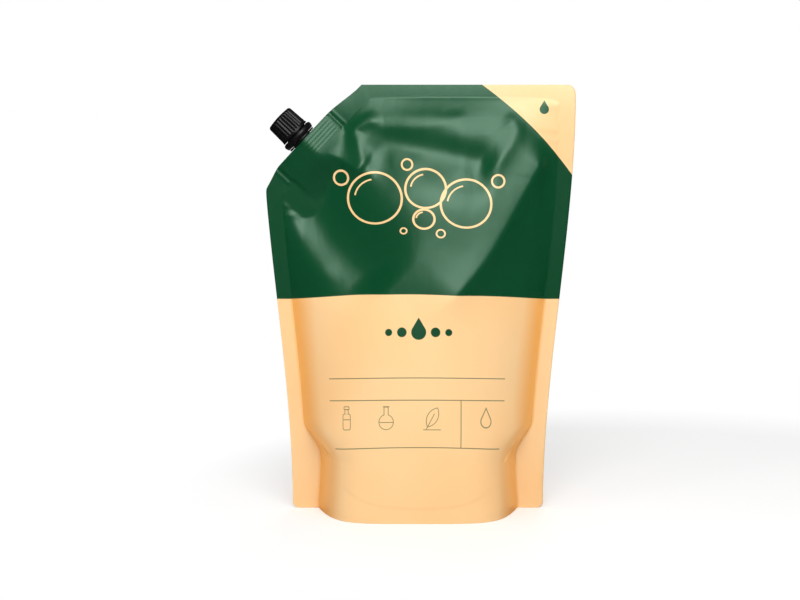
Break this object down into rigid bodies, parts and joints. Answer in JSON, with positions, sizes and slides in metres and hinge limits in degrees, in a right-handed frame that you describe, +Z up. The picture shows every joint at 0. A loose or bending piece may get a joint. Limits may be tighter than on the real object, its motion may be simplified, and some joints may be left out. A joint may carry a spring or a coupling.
{
  "type": "hand soap refill pack",
  "caption": "Filled stand-up film pouch with a bottom gusset, flat sealed edges and a cut corner that holds a welded pour spout with a tamper band and a fluted screw cap.",
  "frame": {"origin": "middle of the flat patch of gusset that the standing pack rests on, on the seal plane", "axes": "+Z up, -Y out of the front panel, +X towards the uncut side, with the spout at the -X side"},
  "size_m": [0.177, 0.084, 0.246],
  "materials": {
    "printed_film": "satin",
    "black_plastic": "semi-gloss"
  },
  "bodies": {
    "pack": {"pouch": "printed_film", "spout": "black_plastic"},
    "band": {"tamper_band": "black_plastic"},
    "cap": {"screw_cap": "black_plastic"}
  },
  "joints": [
    {"name": "band_turn", "type": "hinge", "parent": "pack", "child": "band", "pos_m": [-0.0662, 0, 0.21442], "axis": [-0.7297, 0, 0.6838], "range_deg": [0, 1440]},
    {"name": "cap_lift", "type": "slide", "parent": "band", "child": "cap", "axis": [-0.7297, 0, 0.6838], "range_m": [0, 0.0161]}
  ],
  "couplings": [
    {"joint": "cap_lift", "follows": "band_turn", "m_per_rad": 0.00063662}
  ]
}
